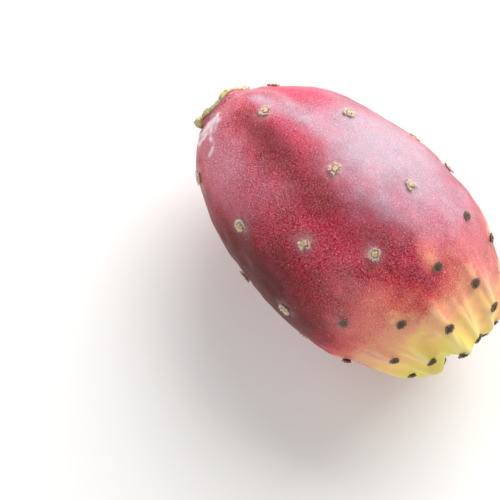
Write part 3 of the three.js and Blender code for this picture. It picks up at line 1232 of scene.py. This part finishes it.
def lip_mesh(settings):
    """The dried lip as a knotty closed ring; returns its points, faces and how far up each is."""
    thick = settings.lip_thickness / MM / 2
    turns, sides = np.meshgrid(all_round(LIP_SEGMENTS), all_round(LIP_SIDES), indexing="ij")
    shares = lip_thickness(turns)
    rough = skin_points(np.full(turns.shape, LIP_ALONG), turns)
    radius = thick * shares * (1 + waved(rough, "lip"))
    along = LIP_ALONG + LIP_WIDTH * radius * np.cos(sides)
    lift = LIP_LIFT * thick * shares + radius * np.sin(sides)
    points = skin_points(along, turns, lift)
    points += waved(points, "lip surface")[..., None]
    faces = []
    for ring in range(LIP_SEGMENTS):
        following = (ring + 1) % LIP_SEGMENTS
        faces += band(ring * LIP_SIDES, following * LIP_SIDES, LIP_SIDES)
    return points.reshape(-1, 3), faces, np.sin(sides).ravel()


def cork_mesh(from_crown, reach, height, seed, rings=34, segments=150):
    """A wrinkled cork disc over one pole of the skin, closed underneath."""
    out = np.linspace(0, reach, rings + 1)[1:]
    outs, turns, faces = poled_rings(np.concatenate([out, out[::-1]]), segments)
    along = SKIN_LENGTH - outs if from_crown else outs
    share = outs / reach
    base = skin_points(along, turns)
    cracks = np.sin(CORK["cracks"] * turns + 3 * waves(base, 5, seed)) * share
    rough = CORK["even"] + CORK["waved"] * waves(base, 1.6, seed + 1) + CORK["cracked"] * cracks
    top = np.arange(len(outs)) < 1 + rings * segments
    lift = np.where(top, height * rough * (1 - share**6) + CORK["edge"], -CORK["depth"])
    if from_crown:
        faces = [tuple(reversed(face)) for face in faces]
    return skin_points(along, turns, lift), faces, share


def joined(meshes):
    """Points, faces and one point value of several meshes as one."""
    points, faces, values = [], [], []
    count = 0
    for mesh_points, mesh_faces, mesh_values in meshes:
        points.append(mesh_points)
        values.append(mesh_values)
        faces += [tuple(int(i) + count for i in face) for face in mesh_faces]
        count += len(mesh_points)
    return np.concatenate(points), faces, np.concatenate(values)


def knob_mesh(rings=14, segments=20):
    """The dried knob on the lip."""
    axes = areole_axes(np.array([KNOB["along"]]), np.radians([KNOB["round"]]))
    point, to_crown, out = [axis[0] for axis in axes]
    steps = np.pi * np.arange(1, rings + 1) / (rings + 1)
    tilts, turns, faces = poled_rings(steps, segments, (0, np.pi))
    ball = [np.sin(tilts) * np.cos(turns), np.sin(tilts) * np.sin(turns), np.cos(tilts)]
    ball = np.stack(ball, 1)
    local = ball * np.array(KNOB["size"]) * (1 + waved(ball, "knob"))[:, None]
    points = point + KNOB["lift"] * out + local @ np.stack([to_crown, np.cross(out, to_crown), out])
    return points, faces, local[:, 2] / KNOB["shade"]


def lip_material(c):
    """Dried green tissue: straw, olive and dark brown in its folds, and painted shade below."""
    material, tree, shader = new_material("dried_lip")
    place = millimetres(tree)
    folds = noise(place, 0.9, 4.0, 0.65)
    stops = [(0.25, c.bark_and_shade), (0.36, c.olive), (0.48, c.olive), (0.58, c.straw)]
    layers = [
        (mapped(folds, 0.45, 0.3, 0.0, 0.8), c.bark_and_shade),
        # painted shade: the underside of the lip and the knob is darkened
        (mapped(field(tree, "upper"), 0.0, -0.7, 0.0, 0.6), c.bark_and_shade),
        (mapped(folds, 0.6, 0.75, 0.0, 0.5), c.straw),
    ]
    inputs = {
        "Base Color": layered(ramp(noise(place, 0.28), stops), layers),
        "Roughness": mapped(folds, 0.3, 0.7, 0.75, 0.55),
        "Normal": bumped([(folds, 0.35)]),
    }
    fill(shader, inputs)
    return material


def cork_material(c):
    """Cork with radial cracks."""
    material, tree, shader = new_material("scar_cork")
    place = millimetres(tree)
    crumbs = noise(place, 1.6, 4.0, 0.7)
    layers = [
        (mapped(crumbs, 0.52, 0.36, 0.0, 0.8), c.crack),
        (mapped(noise(place, 0.4), 0.5, 0.7, 0.0, 0.6), c.straw),
        (mapped(field(tree, "upper"), 0.75, 1.0, 0.0, 0.55), c.crack),
    ]
    inputs = {
        "Base Color": layered(c.cork, layers),
        "Roughness": mapped(crumbs, 0.3, 0.7, 0.92, 0.78),
        "Normal": bumped([(crumbs, 0.3)]),
    }
    fill(shader, inputs)
    return material


def scar_pieces(settings):
    points, faces, upper = joined([lip_mesh(settings), knob_mesh()])
    lip = mesh_object("stem_lip", points, faces, {"upper": upper})
    finish_piece(lip, lip_material(settings))
    material = cork_material(settings)
    for name, (from_crown, reach, seed) in CORKS.items():
        points, faces, share = cork_mesh(from_crown, reach, settings.cork_height / MM, seed)
        disc = mesh_object(name, points, faces, {"upper": share})
        finish_piece(disc, material)


# ---- the stage ----

PICTURE_SIDE = 500  # pixels
SENSOR = 36.0  # mm
AXIS_PIXEL = (348.1, 227.1)  # where the fruit's axis point stands in the frame
FLOOR_HALF = 1500.0  # mm from the floor's middle to each side
LIGHT_DISTANCE = 2.0  # m from the fruit
# The soft lights: the way to each from the fruit, and its length and width in metres.
LIGHTS = {
    "key": ((-0.22, 0.80, 0.56), (1.9, 1.7)),
    "fill": ((-0.86, -0.22, 0.46), (1.4, 1.2)),
    "crown": ((0.6, -0.62, 0.5), (1.0, 0.8)),
}


def floor_material(tint):
    material, tree, shader = new_material("pale_floor")
    speckle = mapped(noise(millimetres(tree), 0.02), 0.3, 0.7, 0.0, 0.02)
    body = blended(speckle, tint, (0.8, 0.8, 0.8, 1))
    fill(shader, {"Base Color": body, "Roughness": 0.85, "Specular IOR Level": 0.2})
    return material


def placed_object(name, data, location, back):
    """A light or a camera that looks the other way from back."""
    made = bpy.data.objects.new(name, data)
    made.location = location
    made.rotation_mode = "QUATERNION"
    made.rotation_quaternion = back.to_track_quat("Z", "Y")
    bpy.context.scene.collection.objects.link(made)
    return made


def area_light(name, toward, size, watts, target):
    """A soft rectangular light that faces the fruit."""
    lamp = bpy.data.lights.new(name, "AREA")
    lamp.shape = "RECTANGLE"
    lamp.size, lamp.size_y = size
    lamp.energy = watts
    way = Vector(toward).normalized()
    placed_object(name, lamp, target + way * LIGHT_DISTANCE, way)


def make_camera(settings, target):
    """The camera, aimed so that the fruit's axis point stands at its place in the frame."""
    a, e = settings.azimuth, settings.elevation
    right = Vector((math.cos(a), math.sin(a), 0))
    back = Vector((math.sin(a) * math.cos(e), -math.cos(a) * math.cos(e), math.sin(e)))
    pixel = settings.distance * SENSOR / (PICTURE_SIDE * settings.lens)
    aside, below = [(place - PICTURE_SIDE / 2) * pixel for place in AXIS_PIXEL]
    data = bpy.data.cameras.new("camera")
    data.sensor_width = SENSOR
    data.lens = settings.lens
    data.clip_start = 0.01
    middle = target - right * aside + back.cross(right) * below
    camera = placed_object("camera", data, middle + back * settings.distance, back)
    bpy.context.scene.camera = camera


def make_stage(settings):
    corners = [(-1, -1, 0), (1, -1, 0), (1, 1, 0), (-1, 1, 0)]
    floor = mesh_object("floor", np.array(corners) * FLOOR_HALF, [(0, 1, 2, 3)], smooth=False)
    floor.data.materials.append(floor_material(settings.floor))
    middle = Vector(AXIS.tolist()) * MM
    for name, (toward, size) in LIGHTS.items():
        area_light(f"{name}_light", toward, size, getattr(settings, f"{name}_power"), middle)
    world = bpy.data.worlds.new("surroundings")
    world.use_nodes = True
    inputs = {"Color": (1.0, 1.0, 1.0, 1), "Strength": settings.sky}
    fill(world.node_tree.nodes["Background"], inputs)
    bpy.context.scene.world = world
    bpy.context.scene.view_settings.view_transform = "Standard"
    make_camera(settings, middle)


# ---- operators and panel ----


class PRICKLYPEAR_OT_skin(bpy.types.Operator):
    """Build the fine skin with its humps, waves and torn edges"""

    bl_idname = "pricklypear.skin"
    bl_label = "Skin"

    def execute(self, context):
        skin_piece(context.scene.pear_skin)
        return {"FINISHED"}


class PRICKLYPEAR_OT_felt(bpy.types.Operator):
    """Build the felt pads of the areoles"""

    bl_idname = "pricklypear.felt"
    bl_label = "Areole felt"

    def execute(self, context):
        felt_piece(context.scene.pear_areoles)
        return {"FINISHED"}


class PRICKLYPEAR_OT_bristles(bpy.types.Operator):
    """Build the blunt stubs and the fine bristles of the areoles"""

    bl_idname = "pricklypear.bristles"
    bl_label = "Areole bristles"

    def execute(self, context):
        bristle_pieces(context.scene.pear_areoles)
        return {"FINISHED"}


class PRICKLYPEAR_OT_scars(bpy.types.Operator):
    """Build the dried lip and the cork of both scars"""

    bl_idname = "pricklypear.scars"
    bl_label = "Scars"

    def execute(self, context):
        scar_pieces(context.scene.pear_scars)
        return {"FINISHED"}


class PRICKLYPEAR_OT_stage(bpy.types.Operator):
    """Build the floor, the lights and the camera"""

    bl_idname = "pricklypear.stage"
    bl_label = "Stage"

    def execute(self, context):
        make_stage(context.scene.pear_stage)
        return {"FINISHED"}


class PRICKLYPEAR_PT_panel(bpy.types.Panel):
    """Lists the steps that build the fruit"""

    bl_idname = "PRICKLYPEAR_PT_panel"
    bl_label = "Prickly pear"
    bl_space_type = "VIEW_3D"
    bl_region_type = "UI"
    bl_category = "Prickly pear"

    def draw(self, context):
        for operator in OPERATORS:
            self.layout.operator(operator.bl_idname)
        for name in SETTINGS:
            group = getattr(context.scene, name)
            box = self.layout.box()
            for key in group.bl_rna.properties.keys():
                if key not in {"rna_type", "name"}:
                    box.prop(group, key)


SETTINGS = {
    "pear_skin": SkinSettings,
    "pear_areoles": AreoleSettings,
    "pear_scars": ScarSettings,
    "pear_stage": StageSettings,
}
OPERATORS = [
    PRICKLYPEAR_OT_skin,
    PRICKLYPEAR_OT_felt,
    PRICKLYPEAR_OT_bristles,
    PRICKLYPEAR_OT_scars,
    PRICKLYPEAR_OT_stage,
]


def register():
    for kind in [*SETTINGS.values(), *OPERATORS, PRICKLYPEAR_PT_panel]:
        bpy.utils.register_class(kind)
    for name, kind in SETTINGS.items():
        setattr(bpy.types.Scene, name, bpy.props.PointerProperty(type=kind))


def unregister():
    for name in SETTINGS:
        delattr(bpy.types.Scene, name)
    for kind in [PRICKLYPEAR_PT_panel, *reversed(OPERATORS), *SETTINGS.values()]:
        bpy.utils.unregister_class(kind)


def main():
    register()
    bpy.ops.pricklypear.skin()
    bpy.ops.pricklypear.felt()
    bpy.ops.pricklypear.bristles()
    bpy.ops.pricklypear.scars()
    bpy.ops.pricklypear.stage()


if __name__ == "__main__":
    main()
